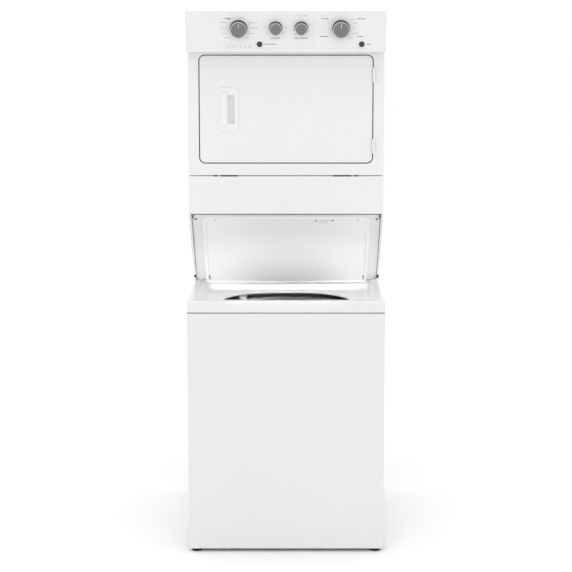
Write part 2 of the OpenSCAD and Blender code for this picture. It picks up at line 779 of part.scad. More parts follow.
module lint_duct() color(steel) framed() difference() {
    duct_run(0);
    duct_run(1.5);
    block([-screen_half - 1, 205, 1400], [screen_half + 1, 215, 1410]);
    rod_y(10, 650, 660, fan_at[0], fan_at[1]);
    rod_y(35, 670, 680, fan_at[0], fan_at[1]);
}

module lint_screen() color(grey) framed() {
    difference() {
        block([-screen_half, 206.5, 1340], [screen_half, 213.5, 1408]);
        block([-screen_half + 8, 206, 1348], [screen_half - 8, 214, 1398]);
    }
    block([-screen_half + 8, 209.5, 1348], [screen_half - 8, 210.5, 1398]);
    block([-30, 206.5, 1408], [30, 213.5, 1416]);
}

module heater_duct() color(steel) framed() difference() {
    block([-325, 652, 1440], [-110, 700, 1780]);
    block([-323, 651, 1442], [-112, 698, 1778]);
}

module dryer_motor() color(grey) framed() difference() {
    union() {
        rod_y(58, 484, 600, fan_at[0], fan_at[1]);
        block([fan_at[0] - 50, 490, 1331.4], [fan_at[0] + 50, 594, 1370]);
    }
    rod_y(7 + running, 480, 604, fan_at[0], fan_at[1]);
}

module drum_belt() color(black) framed() translate([0, 468, 0]) rotate([90, 0, 0]) linear_extrude(10)
    difference() {
        belt_outline([0, drum_z], drum_r + 4, fan_at, fan_pulley_r + 4);
        belt_outline([0, drum_z], drum_r + 1, fan_at, fan_pulley_r + 1);
    }

module blower_wheel() color(grey) framed() translate([fan_at[0], 0, fan_at[1]]) {
    rod_y(7, 452, 722, 0, 0);
    rod_y(fan_pulley_r, 455, 471, 0, 0);
    rod_y(58, 718, 721, 0, 0);
    for (a = [0 : 30 : 330]) rotate([0, a, 0]) block([40, 686, -1.5], [57, 719, 1.5]);
    difference() {
        rod_y(58, 684, 687, 0, 0);
        rod_y(40, 683, 688, 0, 0);
    }
}

module blower_shell(t) {
    rod_y(68 - t, 677 + t, 728 - t, fan_at[0], fan_at[1]);
    block([160 + t, 677 + t, 1338 + t], [fan_at[0], 728 - t, 1390 - t]);
}

module blower_housing() color(steel) framed() difference() {
    blower_shell(0);
    blower_shell(2);
    rod_y(35, 670, 680, fan_at[0], fan_at[1]);
    block([159, 679, 1340], [163, 726, 1388]);
}

module exhaust_duct() color(steel) framed() difference() {
    union() {
        block([50, 677, 1338], [160, 728, 1446]);
        rod_y(exhaust_r - 0.8, 720, 802, exhaust_at[0], exhaust_at[1]);
        rod_y(exhaust_r, 801, depth, exhaust_at[0], exhaust_at[1]);
    }
    block([52, 679, 1340], [161, 726, 1388]);
    block([52, 679, 1340], [158, 726, 1444]);
    rod_y(exhaust_r - 2, 720, depth + cut, exhaust_at[0], exhaust_at[1]);
}

module terminal_cover() color(grey) framed() difference() {
    block([-300, stand_back, 1440], [-200, stand_back + 20, 1520]);
    block([-297, stand_back - cut, 1443], [-203, stand_back + 17, 1517]);
    rod_z(7, 1439, 1444, -250, stand_back + 10);
}

washer_cabinet();
washer_base();
levelling_feet();
washer_top();
fill_nozzle();
suspension_rods();
suspension_springs();
drain_pump();
inlet_valve();
lid_hinge_pins();
washer_lid();
lid_liner();
lid_bumpers();
lid_strike();
outer_tub();
tub_ring();
gearcase();
washer_motor();
washer_belt();
basket();
balance_ring();
agitator();
drive_pulley();
motor_pulley();
stand_sides();
backsplash();
rear_panel();
lower_fascia();
dryer_base();
dryer_cabinet();
dryer_front();
dryer_top();
console_fascia();
console_ends();
control_switches();
front_bulkhead();
rear_bulkhead();
lint_duct();
heater_duct();
dryer_motor();
drum_belt();
blower_housing();
exhaust_duct();
terminal_cover();
door_hinge_frames();
dryer_door();
door_liner();
door_handle();
door_hinge_leaves();
washer_cycle_knob();
water_temp_knob();
load_size_knob();
dryer_cycle_knob();
washer_start_button();
dryer_start_button();
drum();
roller_left();
roller_right();
blower_wheel();
lint_screen();
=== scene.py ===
"""Washer dryer stack: its visible shells, controls, materials and studio, built round the CAD frame."""
import math

import bmesh
import bpy
from mathutils import Matrix, Vector


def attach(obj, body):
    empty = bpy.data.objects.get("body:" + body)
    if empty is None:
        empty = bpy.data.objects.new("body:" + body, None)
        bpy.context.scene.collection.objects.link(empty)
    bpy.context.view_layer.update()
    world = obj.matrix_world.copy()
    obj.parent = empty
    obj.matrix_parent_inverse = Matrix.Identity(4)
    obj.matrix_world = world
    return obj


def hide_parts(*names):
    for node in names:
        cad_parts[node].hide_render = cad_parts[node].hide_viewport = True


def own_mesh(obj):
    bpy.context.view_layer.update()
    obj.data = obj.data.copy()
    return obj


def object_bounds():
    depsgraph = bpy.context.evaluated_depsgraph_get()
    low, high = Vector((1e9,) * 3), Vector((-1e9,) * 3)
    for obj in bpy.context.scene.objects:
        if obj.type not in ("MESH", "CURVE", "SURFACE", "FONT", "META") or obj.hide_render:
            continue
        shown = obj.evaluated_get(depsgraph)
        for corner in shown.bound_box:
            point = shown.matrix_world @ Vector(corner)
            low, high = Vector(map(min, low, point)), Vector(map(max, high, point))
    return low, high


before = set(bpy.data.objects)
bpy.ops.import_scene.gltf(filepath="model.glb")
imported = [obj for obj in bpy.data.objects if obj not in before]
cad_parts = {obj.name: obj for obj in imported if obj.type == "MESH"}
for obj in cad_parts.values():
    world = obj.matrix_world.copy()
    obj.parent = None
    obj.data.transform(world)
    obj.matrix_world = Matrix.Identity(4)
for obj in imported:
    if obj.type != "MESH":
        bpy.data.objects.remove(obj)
CAD_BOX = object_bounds()
MM = 0.001
LOW, HIGH = CAD_BOX
FRONT = LOW.y                                   # the washer's front plane

# ---------------------------------------------------------------- places, in millimetres
# x runs to the viewer's right, d is the depth behind the washer's front plane, z is the height.

HALF = HIGH.x / MM                              # half the width of the cabinets
CORNER_R = 12                                   # radius of the washer's front corners
TOP_BACK = 655                                  # rear edge of the washer's top
WELL_FLOOR = 865                                # upper face of the deck's well
DECK_TOP = 905                                  # height of the deck's rim
MOUTH = (0, 247, 456, 366, 180)                 # centre x and d, width, depth, corner radius
HINGE = (463, 913)                              # the lid's axis: depth and height
LEAN = math.radians(45)                         # how far the lid stands open
LID_HALF, LID_REAR, LID_TIP = 337, -5.4, 396    # the lid's half-width, and its ends from the axis
LID_UNDER = 5                                   # the lid's underside stands this far off its axis
LID_THICK = 14
LINER_HALF, LINER_REAR, LINER_TIP = 300, 6.5, 380
DRYER_FRONT = 167                               # depth of the dryer's front plane
FASCIA_LOW, FASCIA_HIGH = 1190, 1326
DRYER_LOW, DRYER_HIGH = 1328, 1763.5            # lower and upper edge of the dryer's front panel
FRONT_R = 5                                     # corner radius of the fascia and the dryer's front
DOOR = (-304.8, 304.8, 1373.7, 1751.3)          # the door's left, right, lower and upper edge
DOOR_R = 19
DOOR_GAP = 3.2                                  # gap all round the door
DOOR_AXIS = (309, 161)                          # the door's hinge line: x and depth
FOOT = (92, 1764)                               # depth and height of the console's lower edge
TILT = math.radians(13.65)                      # how far the console leans out
TUB_AXIS = 313                                  # depth of the washer's tub axis
DRUM_AXIS = 1625                                # height of the dryer's drum axis


def place(x, d, z):
    """A point of the scene from its place in millimetres."""
    return Vector((x * MM, FRONT + d * MM, z * MM))


# ---------------------------------------------------------------- materials


def socket(node, name, value):
    """Sets one unlinked input of a shader node."""
    node.inputs[name].default_value = value


class Paint:
    """One node-based material, built up from a base colour, fine grain and slow variation."""

    def __init__(self, name, colour, rough, metal=0.0, coat=0.0, coat_rough=0.1):
        self.material = bpy.data.materials.new(name)
        self.material.use_nodes = True
        self.tree = self.material.node_tree
        self.shader = self.tree.nodes["Principled BSDF"]
        self.colour = (*colour, 1.0)
        socket(self.shader, "Base Color", self.colour)
        socket(self.shader, "Roughness", rough)
        socket(self.shader, "Metallic", metal)
        socket(self.shader, "Coat Weight", coat)
        socket(self.shader, "Coat Roughness", coat_rough)
        self.rough = rough
        self.coords = self.add("ShaderNodeTexCoord").outputs["Object"]

    def add(self, kind, **settings):
        node = self.tree.nodes.new(kind)
        for key, value in settings.items():
            setattr(node, key, value)
        return node

    def link(self, source, target):
        self.tree.links.new(source, target)

    def math(self, operation, a, b=None):
        node = self.add("ShaderNodeMath", operation=operation)
        for slot, value in zip(node.inputs, (a, b)):
            if value is None:
                continue
            if isinstance(value, (int, float)):
                slot.default_value = value
            else:
                self.link(value, slot)
        return node.outputs[0]

    def noise(self, scale, detail=3.0, stretch=(1, 1, 1), coords=None):
        mapping = self.add("ShaderNodeMapping")
        mapping.inputs["Scale"].default_value = stretch
        self.link(coords or self.coords, mapping.inputs["Vector"])
        node = self.add("ShaderNodeTexNoise")
        socket(node, "Scale", scale)
        socket(node, "Detail", detail)
        self.link(mapping.outputs[0], node.inputs["Vector"])
        return node.outputs["Fac"]

    def tint(self, factor, low, high, low_at=0.35, high_at=0.65):
        """Base colour runs from low to high times the paint's colour as factor goes up."""
        ramp = self.add("ShaderNodeValToRGB")
        for stop, at, gain in zip(ramp.color_ramp.elements, (low_at, high_at), (low, high)):
            stop.position = at
            stop.color = (*[min(1.0, c * gain) for c in self.colour[:3]], 1.0)
        self.link(factor, ramp.inputs[0])
        self.link(ramp.outputs[0], self.shader.inputs["Base Color"])
        return self

    def gloss(self, factor, spread):
        span = self.add("ShaderNodeMapRange")
        socket(span, "To Min", max(0.02, self.rough - spread))
        socket(span, "To Max", min(1.0, self.rough + spread))
        self.link(factor, span.inputs["Value"])
        self.link(span.outputs[0], self.shader.inputs["Roughness"])
        return self

    def bump(self, factor, strength, distance):
        node = self.add("ShaderNodeBump")
        socket(node, "Strength", strength)
        socket(node, "Distance", distance)
        self.link(factor, node.inputs["Height"])
        self.link(node.outputs[0], self.shader.inputs["Normal"])
        return self


def enamel(name, colour, rough=0.22, coat=0.35):
    """Baked white paint on sheet steel: a soft orange peel and the faintest drift in tone."""
    paint = Paint(name, colour, rough, coat=coat, coat_rough=0.06)
    paint.tint(paint.noise(2.2, 2.0), 0.985, 1.0)
    paint.gloss(paint.noise(5.0, 2.0), 0.04)
    return paint.bump(paint.noise(420.0, 2.0), 0.05, 0.0004).material


def plastic(name, colour, rough, grain=900.0, depth=0.0003, strength=0.12, drift=0.94):
    """Moulded plastic or printing ink with a fine grain."""
    paint = Paint(name, colour, rough)
    paint.tint(paint.noise(14.0, 3.0), drift, 1.0)
    paint.gloss(paint.noise(60.0, 3.0), 0.06)
    return paint.bump(paint.noise(grain, 2.0), strength, depth).material


def brushed(name, colour, rough, stretch=(1, 1, 40), metal=1.0):
    """Bare metal with fine lines across the stretched axis."""
    paint = Paint(name, colour, rough, metal=metal)
    lines = paint.noise(26.0, 4.0, stretch)
    paint.tint(lines, 0.82, 1.0)
    paint.gloss(lines, 0.1)
    return paint.bump(lines, 0.08, 0.0002).material


def galvanised(name, colour, rough=0.42):
    """Zinc-coated sheet with its spangle of flat crystals."""
    paint = Paint(name, colour, rough, metal=0.9)
    spangle = paint.add("ShaderNodeTexVoronoi")
    socket(spangle, "Scale", 75.0)
    paint.link(paint.coords, spangle.inputs["Vector"])
    grey = paint.add("ShaderNodeRGBToBW")
    paint.link(spangle.outputs["Color"], grey.inputs[0])
    paint.tint(grey.outputs[0], 0.8, 1.0, 0.1, 0.9)
    paint.gloss(grey.outputs[0], 0.12)
    return paint.bump(paint.noise(200.0), 0.05, 0.0003).material


def cast(name, colour, rough=0.5):
    """Painted casting with a rough skin."""
    paint = Paint(name, colour, rough, metal=0.2)
    paint.tint(paint.noise(30.0, 5.0), 0.75, 1.0)
    paint.gloss(paint.noise(80.0), 0.12)
    return paint.bump(paint.noise(260.0, 5.0), 0.35, 0.0008).material


def rubber(name, colour=(0.018, 0.018, 0.019)):
    """Dull rubber with a mottled skin."""
    paint = Paint(name, colour, 0.62)
    paint.tint(paint.noise(40.0, 4.0), 0.7, 1.0)
    paint.gloss(paint.noise(120.0), 0.08)
    return paint.bump(paint.noise(700.0, 4.0), 0.3, 0.0004).material


def perforated(name, colour, pitch, axis_d, along="z", centre_z=0.0, hole=0.26, radius=0.257):
    """Sheet metal with staggered rows of holes, laid out by the angle round the drum's axis.

    pitch, axis_d and centre_z are in millimetres, radius in metres, and hole is a share of the pitch.
    """
    paint = Paint(name, colour, 0.3, metal=0.95)
    parts = paint.add("ShaderNodeSeparateXYZ")
    paint.link(paint.coords, parts.inputs[0])
    x, y, z = parts.outputs
    if along == "z":
        across, run = paint.math("SUBTRACT", y, FRONT + axis_d * MM), z
    else:
        across, run = paint.math("SUBTRACT", z, centre_z * MM), y
    angle = paint.math("MULTIPLY", paint.math("ARCTAN2", across, x), radius / (pitch * MM))
    rows = paint.math("DIVIDE", run, pitch * MM)
    odd = paint.math("MULTIPLY", paint.math("FLOOR", rows), 0.5)
    u = paint.math("SUBTRACT", paint.math("FRACT", paint.math("ADD", angle, odd)), 0.5)
    v = paint.math("SUBTRACT", paint.math("FRACT", rows), 0.5)
    squares = [paint.math("POWER", side, 2.0) for side in (u, v)]
    reach = paint.math("SQRT", paint.math("ADD", *squares))
    solid = paint.math("SMOOTH_MIN", paint.math("MULTIPLY", reach, 1.0 / hole), 1.0)
    lines = paint.noise(26.0, 4.0, (1, 1, 30))
    sheet = paint.math("MULTIPLY", paint.math("POWER", solid, 6.0), lines)
    # The holes are painted near-black: painted shade where the sheet is open.
    paint.tint(sheet, 0.12, 1.0, 0.05, 0.6)
    return paint.bump(solid, 0.4, 0.0008).material


def radial_face(name, colour):
    """A turned knob face: soft streaks that run out from the knob's axis, and a faint painted sheen in
    four lobes.
    """
    paint = Paint(name, colour, 0.34, metal=0.75)
    parts = paint.add("ShaderNodeSeparateXYZ")
    paint.link(paint.coords, parts.inputs[0])
    x, y, _ = parts.outputs
    angle = paint.math("ARCTAN2", y, x)
    # Brighter at four angles round the axis: a painted sheen on the spun face.
    painted_sheen = paint.math("ABSOLUTE", paint.math("SINE", paint.math("MULTIPLY", angle, 2.0)))
    spun = paint.add("ShaderNodeCombineXYZ")
    paint.link(angle, spun.inputs[0])
    streaks = paint.noise(9.0, 5.0, (1, 1, 1), spun.outputs[0])
    shares = [paint.math("MULTIPLY", part, share) for part, share in ((painted_sheen, 0.08), (streaks, 0.92))]
    paint.tint(paint.math("ADD", *shares), 0.8, 1.15, 0.25, 0.8)
    return paint.gloss(streaks, 0.08).material


WHITE = enamel("white_enamel", (0.775, 0.776, 0.778))
DECK_WHITE = enamel("deck_porcelain", (0.76, 0.761, 0.763), rough=0.26, coat=0.2)
# The well is the deck's own porcelain, painted brighter than the rim: painted light.
WELL_PAINTED_LIGHT_WHITE = enamel("well_porcelain_painted_light", (0.95, 0.951, 0.953), rough=0.55, coat=0.0)
# The lid's inner panel is painted whiter than the lid's shell: painted light on the underside.
LINER_PAINTED_LIGHT_WHITE = enamel("lid_liner_enamel_painted_light", (0.86, 0.861, 0.863), rough=0.5, coat=0.0)
CABINET_WHITE = enamel("cabinet_enamel", (0.745, 0.746, 0.748))
CONSOLE_WHITE = plastic("console_plastic", (0.77, 0.771, 0.773), 0.34, drift=0.985, strength=0.04)
HANDLE_WHITE = plastic("handle_plastic", (0.8, 0.801, 0.803), 0.36, drift=0.985, strength=0.05)
KNOB_SIDE = plastic("knob_side", (0.035, 0.036, 0.04), 0.38)
KNOB_FACE = radial_face("knob_face", (0.2, 0.203, 0.21))
KNOB_RING = brushed("knob_ring", (0.62, 0.63, 0.65), 0.22, (8, 8, 1))
POINTER = plastic("pointer_ink", (0.88, 0.88, 0.88), 0.5)
BUTTON_DARK = plastic("button_dark", (0.03, 0.03, 0.034), 0.4)
INK_DARK = plastic("ink_dark", (0.1, 0.1, 0.11), 0.5, drift=0.8)
INK_GREY = plastic("ink_grey", (0.3, 0.3, 0.31), 0.5, drift=0.85)
INK_PALE = plastic("ink_pale", (0.58, 0.58, 0.59), 0.5, drift=0.9)
RUBBER = rubber("black_rubber")
# Dark grey for thin strips in gaps and under edges: painted shade.
PAINTED_SHADE_GREY = rubber("painted_shade_grey", (0.1, 0.1, 0.102))
BUMPER_GREY = rubber("bumper_grey", (0.22, 0.22, 0.225))
# Near-black for painted shade in openings and corners.
SHADOW = plastic("painted_shade_black", (0.012, 0.012, 0.013), 0.7)
ZINC = galvanised("galvanised_sheet", (0.62, 0.635, 0.65))
STAINLESS = perforated("basket_steel", (0.42, 0.425, 0.435), 19.0, TUB_AXIS)
DRUM_STEEL = perforated("drum_steel", (0.5, 0.51, 0.52), 26.0, 0.0, "y", DRUM_AXIS, 0.2, 0.262)
GREY_PLASTIC = plastic("grey_plastic", (0.3, 0.305, 0.315), 0.48)
RING_PLASTIC = plastic("tub_ring_plastic", (0.6, 0.605, 0.61), 0.4)
PALE_PLASTIC = plastic("pale_plastic", (0.7, 0.7, 0.69), 0.45)
DARK_PLASTIC = plastic("dark_plastic", (0.05, 0.05, 0.055), 0.5)
CAST_IRON = cast("painted_casting", (0.1, 0.105, 0.115))
ALLOY = brushed("bright_alloy", (0.6, 0.61, 0.62), 0.32)
SPRING_STEEL = brushed("spring_steel", (0.4, 0.4, 0.42), 0.3, (1, 1, 8))
BASE_GREY = cast("base_paint", (0.16, 0.165, 0.17), 0.45)

# ---------------------------------------------------------------- mesh tools


def settle(name, bm, body, materials, replaces=(), crease=32.0, where=None):
    """Turns a bmesh into a finished piece: closed, smooth but for its creases, and riding on a body."""
    bmesh.ops.remove_doubles(bm, verts=bm.verts, dist=1e-7)
    bmesh.ops.recalc_face_normals(bm, faces=bm.faces)
    limit = math.radians(crease)
    for face in bm.faces:
        face.smooth = True
    for edge in bm.edges:
        if len(edge.link_faces) == 2 and edge.calc_face_angle(0.0) > limit:
            edge.smooth = False
    mesh = bpy.data.meshes.new(name)
    bm.to_mesh(mesh)
    bm.free()
    piece = bpy.data.objects.new(name, mesh)
    bpy.context.scene.collection.objects.link(piece)
    for material in materials if isinstance(materials, (list, tuple)) else [materials]:
        mesh.materials.append(material)
    if where is not None:
        piece.matrix_world = where
    normals = piece.modifiers.new("normals", "WEIGHTED_NORMAL")
    normals.keep_sharp = True
    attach(piece, body)
    if replaces:
        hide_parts(*replaces)
    return piece


def outline(w, h, r, arc=8, side=4):
    """A rectangle centred on the origin with round corners.

    r is one radius or four, from the (+, +) corner anticlockwise to the (+, -) corner.
    """
    radii = r if isinstance(r, (list, tuple)) else [r] * 4
    points = []
    corners = [(1, 1), (-1, 1), (-1, -1), (1, -1)]
    for k, ((sx, sy), radius) in enumerate(zip(corners, radii)):
        cx, cy = sx * (w / 2 - radius), sy * (h / 2 - radius)
        for i in range(arc + 1):
            a = math.pi / 2 * (k + i / arc)
            points.append((cx + radius * math.cos(a), cy + radius * math.sin(a)))
        nx, ny = corners[(k + 1) % 4]
        nr = radii[(k + 1) % 4]
        a = math.pi / 2 * (k + 1)
        ex, ey = nx * (w / 2 - nr) + nr * math.cos(a), ny * (h / 2 - nr) + nr * math.sin(a)
        sx0, sy0 = points[-1]
        for i in range(1, side):
            points.append((sx0 + (ex - sx0) * i / side, sy0 + (ey - sy0) * i / side))
    return points


def loft(bm, rings, cap_first=True, cap_last=True, ring_material=None, closed=False):
    """Joins rings of equal length with quads. closed also joins the last ring back to the first."""
    rows = [[bm.verts.new(p) for p in ring] for ring in rings]
    pairs = list(zip(rows, rows[1:])) + ([(rows[-1], rows[0])] if closed else [])
    for k, (a, b) in enumerate(pairs):
        for i in range(len(a)):
            j = (i + 1) % len(a)
            face = bm.faces.new((a[i], a[j], b[j], b[i]))
            if ring_material:
                face.material_index = ring_material[k]
    if not closed:
        if cap_first:
            bm.faces.new(rows[0])
        if cap_last:
            face = bm.faces.new(list(reversed(rows[-1])))
            if ring_material:
                face.material_index = ring_material[-1]


def fillet(radius, steps=5):
    """(inset, rise) pairs for a quarter round, from the side wall up to the flat face."""
    turns = [math.pi / 2 * i / steps for i in range(steps + 1)]
    return [(radius * (1 - math.cos(a)), radius * math.sin(a)) for a in turns]


def wall_rings(box, r, stations, arc=8, side=4):
    """Rings in the XZ plane. box is (x0, x1, z0, z1); each station is (inset, depth)."""
    x0, x1, z0, z1 = box
    cx, cz = (x0 + x1) / 2, (z0 + z1) / 2
    rings = []
    for inset, depth in stations:
        radius = [max(q - inset, 0.3) for q in (r if isinstance(r, (list, tuple)) else [r] * 4)]
        ring = outline(x1 - x0 - 2 * inset, z1 - z0 - 2 * inset, radius, arc, side)
        rings.append([place(cx + x, depth(cz + z) if callable(depth) else depth, cz + z) for x, z in ring])
    return rings


def lathe(bm, profile, sides=64, matrix=Matrix(), faces_material=None):
    """Turns (radius, height) points about local Z. A radius of 0 closes the end."""
    rows = []
    turns = [2 * math.pi * i / sides for i in range(sides)]
    for radius, height in profile:
        ring = [Vector((radius * math.cos(a), radius * math.sin(a), height)) * MM for a in turns]
        if radius == 0:
            ring = ring[:1]
        rows.append([bm.verts.new(matrix @ point) for point in ring])
    for k, (a, b) in enumerate(zip(rows, rows[1:])):
        for i in range(sides):
            j = (i + 1) % sides
            corners = [a[i % len(a)], a[j % len(a)], b[j % len(b)], b[i % len(b)]]
            face = bm.faces.new(list(dict.fromkeys(corners)))
            if faces_material:
                face.material_index = faces_material[k]


def brick(bm, centre, size, matrix=Matrix(), material=0):
    """A small block with softened edges, used only inside larger pieces."""
    made = bmesh.ops.create_cube(bm, size=1.0)["verts"]
    for vert in made:
        scaled = Vector([v * s for v, s in zip(vert.co, size)])
        vert.co = matrix @ ((Vector(centre) + scaled) * MM)
    faces = {f for v in made for f in v.link_faces}
    for face in faces:
        face.material_index = material
    edges = list({e for v in made for e in v.link_edges})
    width = min(size) * MM * 0.22
    bmesh.ops.bevel(bm, geom=edges, offset=width, segments=2, affect="EDGES", clamp_overlap=True)


# ---------------------------------------------------------------- washer top


def plan_ring(x_half, d0, d1, r, z_side, z_front=None, arc=12, side=8):
    """A ring seen from above. Its height runs from z_side to z_front as it comes round to the front."""
    cd = (d0 + d1) / 2
    ring = []
    for x, d in outline(2 * x_half, d1 - d0, r, arc, side):
        front = min(1.0, max(0.0, (r - (cd + d - d0)) / r))
        front = front * front * (3 - 2 * front)
        z = z_side if z_front is None else z_side + (z_front - z_side) * front
        ring.append(place(x, cd + d, z))
    return ring


def mouth_ring(inset, z):
    """A ring round the loading mouth; a negative inset lies outside it."""
    _, d, w, h, r = MOUTH
    return plan_ring(w / 2 - inset, d - h / 2 + inset, d + h / 2 - inset, r - inset, z)


def washer_top():
    """The deck, one closed skin: the mouth's rolled lip, the well, its wall, the rim and the skirt."""
    # (inset from the mouth, rise above the well's floor)
    lip = [(-6, -4.6), (-3.4, -6.4), (-1.2, -6), (0, -3.8), (-0.6, -1), (-2.6, 0.7), (-6, 1.5),
           (-11, 1.5), (-17, 0.7), (-23, 0)]
    # half-width, front and back, corner radius, then the height above the floor at the sides and in front
    bowl = [(284, 112, 440, 26, 0, 0), (292, 104, 447, 28, 0.3, 0.3), (297, 99.5, 451, 29, 2.5, 2),
            (300, 96.5, 453.5, 30, 6, 5), (303, 90, 456.5, 29, 13, 12),
            (305.5, 84, 459.5, 28, 19.5, 19), (306.8, 79, 461.5, 27, 24, 23.2),
            (308, 73, 463, 26, 28, 24), (309, 45, 465, 22, 31, 24.2), (309.6, 40, 466, 20, 33.5, 25.5),
            (310.3, 37, 467.5, 19, 36, 30), (311.2, 35, 469, 18, 38.2, 36),
            (312.6, 33, 471, 17, 39.6, 39), (315, 30, 474, 16, 40, 40)]
    rings = [mouth_ring(inset, WELL_FLOOR + rise) for inset, rise in lip]
    rings += [plan_ring(*plan, WELL_FLOOR + side, WELL_FLOOR + front) for *plan, side, front in bowl]
    # Rings before this count take the well's brighter white (painted light); the rest take the rim's
    # white.
    well_painted_light_end = len(rings) - 3                    # the last rings belong to the rim
    rim = 9
    for inset, rise in reversed(fillet(rim, 6)):
        r = max(CORNER_R - inset, 3.5)
        back = TOP_BACK - min(inset, 2)
        rings.append(plan_ring(HALF - inset, inset, back, r, DECK_TOP - rim + rise))
    skirt = [(0, 867), (0.4, 865.4), (1.2, 864.6), (1.9, 865.4), (2.2, 896)]
    rings += [plan_ring(HALF - i, i, TOP_BACK - i, CORNER_R - i, z) for i, z in skirt]
    rings.append(plan_ring(320, 27, 480, 16, DECK_TOP - 5))
    rings.append(plan_ring(302, 106, 458, 29, WELL_FLOOR - 1.5, WELL_FLOOR - 3))
    rings.append(mouth_ring(-12, WELL_FLOOR - 2.5))
    bm = bmesh.new()
    loft(bm, rings, ring_material=[k < well_painted_light_end for k in range(len(rings))], closed=True)
    settle("washer_top_shell", bm, "cabinet", [DECK_WHITE, WELL_PAINTED_LIGHT_WHITE], ["washer_top"], 50)

    bm = bmesh.new()
    # Painted shade in the seam between the cabinet and the deck, shaped as a thin black rubber ring.
    seal = [(1.7, 860.6), (2.6, 860.2), (3.6, 860.6), (3.6, 865.6), (2.6, 866), (1.7, 865.6)]
    loft(bm, [plan_ring(HALF - i, i, TOP_BACK - i, CORNER_R - i, z) for i, z in seal], closed=True)
    settle("washer_top_seam_painted_shade", bm, "cabinet", RUBBER)

    bm = bmesh.new()
    for side in (-1, 1):
        brick(bm, (0, 0, 0), (22, 6.4, 3), Matrix.Translation(place(side * 327, 451.6, DECK_TOP + 0.9)))
    settle("lid_rest_pads", bm, "cabinet", HANDLE_WHITE)


# ---------------------------------------------------------------- lid


def on_lid(x, s, n):
    """A point on the open lid: s runs from the hinge to the tip and n stands out of the underside."""
    c, k = math.cos(LEAN), math.sin(LEAN)
    return place(x, HINGE[0] - s * c - n * k, HINGE[1] + s * k - n * c)


def lid_ring(half, s0, s1, r, n):
    """A ring in the lid's plane; n is a number or a function of s."""
    middle = (s0 + s1) / 2
    return [on_lid(x, middle + s, n(middle + s) if callable(n) else n)
            for x, s in outline(2 * half, s1 - s0, r, 8, 8)]


def washer_lid():
    """The lid's outer shell, with a hem pressed into its underside."""
    top = LID_UNDER - LID_THICK
    sunk = [(45, 3), (44, 0.6), (43, 0), (14, 0), (12.5, 0.5), (11, 0.5), (9.5, 0)]
    sunk += [(2.2, 0), (1.0, 0.4), (0.3, 1.2), (0, 2.4)]
    stations = [(inset, LID_UNDER - depth) for inset, depth in sunk]
    stations += [(i, top + 5 - rise) for i, rise in fillet(5)]
    rings = [lid_ring(LID_HALF - i, LID_REAR + min(i, 9), LID_TIP - min(i, 17), max(7 - i, 3), n)
             for i, n in stations]
    bm = bmesh.new()
    loft(bm, rings)
    settle("lid_shell", bm, "lid", WHITE, ["washer_lid"])


def liner_height(s):
    """How far the inner panel stands out of the lid: shallow at the tip, deep at the hinge."""
    return 9.5 + 22.5 * (374 - s) / 366


def lid_liner():
    """The lid's inner panel: a tray with a raised frame, deeper towards the hinge."""
    corner = 22
    buried = -60
    stations = [(0.6, buried), (0, buried), (0.3, -4.5), (1.6, -1.2), (4, 1.2), (7, 2.2), (10, 1.6),
                (12, 0.2), (14, -0.8), (18, -1.0)]
    rings = []
    for inset, rise in stations:
        def height(s, up=rise):
            return LID_UNDER - 0.6 if up == buried else max(liner_height(s) + up, LID_UNDER)
        rings.append(lid_ring(LINER_HALF - inset, LINER_REAR + inset, LINER_TIP - inset,
                              max(corner - inset, 6), height))
    bm = bmesh.new()
    loft(bm, rings)
    settle("lid_inner_panel", bm, "lid", LINER_PAINTED_LIGHT_WHITE, ["lid_liner"])


def lid_axes(x, s, n):
    """A matrix at a point of the lid with local Z standing out of the underside and Y towards the tip."""
    c, k = math.cos(LEAN), math.sin(LEAN)
    out, up = Vector((0, -k, -c)), Vector((0, -c, k))
    side = up.cross(out)
    return Matrix.Translation(on_lid(x, s, n)) @ Matrix((side, up, out)).transposed().to_4x4()


def screw_head(bm, matrix, radius, height, material=0):
    profile = [(0, -0.4), (radius, -0.4), (radius, height * 0.45), (radius * 0.8, height * 0.85),
               (radius * 0.45, height), (0, height)]
    lathe(bm, profile, 20, matrix, [material] * 5)


def lid_fittings():
    """What sits on the lid's underside: bumpers, small screws, dark strips of painted shade at the liner's
    lower corners and the lid switch's strike.
    """
    bumper = [(0, 0), (4.5, 0), (4.5, 1.6), (3.6, 2.6), (0, 2.7)]
    on_skin = LID_UNDER - 0.1
    bm = bmesh.new()
    for side in (-1, 1):
        lathe(bm, bumper, 32, lid_axes(side * 324, 366, on_skin))
        brick(bm, (0, 0, 1.2), (5, 14, 2.4), lid_axes(side * 333.5, 381, on_skin))
        screw_head(bm, lid_axes(side * 256, 364, liner_height(364) - 1.1), 2.4, 1.4)
    settle("lid_rubber_bumpers", bm, "lid", BUMPER_GREY, ["lid_bumpers"])

    bm = bmesh.new()
    # Dark strips at the liner's lower corners, inside its frame: painted shade in the corners.
    for side in (-1, 1):
        brick(bm, (0, 0, 0), (4, 34, 1.6), lid_axes(side * 286.5, 36, liner_height(36) - 0.8))
    settle("lid_liner_corner_painted_shade", bm, "lid", SHADOW)

    bm = bmesh.new()
    foot = lid_axes(136, 362, liner_height(362) - 1.2)
    for x in (-30, 30):
        screw_head(bm, foot @ Matrix.Translation((x * MM, 0, 0)), 3.6, 2.2, 1)
    turns = [math.pi * i / 14 for i in range(15)]
    path = [Vector((18, 0, 0.4))]
    path += [Vector((13 * math.cos(a), 0, 9.5 * math.sin(a) + 1)) for a in turns]
    path.append(Vector((-18, 0, 0.4)))
    tube(bm, [foot @ (p * MM) for p in path], 1.5)
    brick(bm, (0, -7, 0.5), (26, 9, 1.4), foot)
    settle("lid_strike_bracket", bm, "lid", [HANDLE_WHITE, BUMPER_GREY], ["lid_strike"])


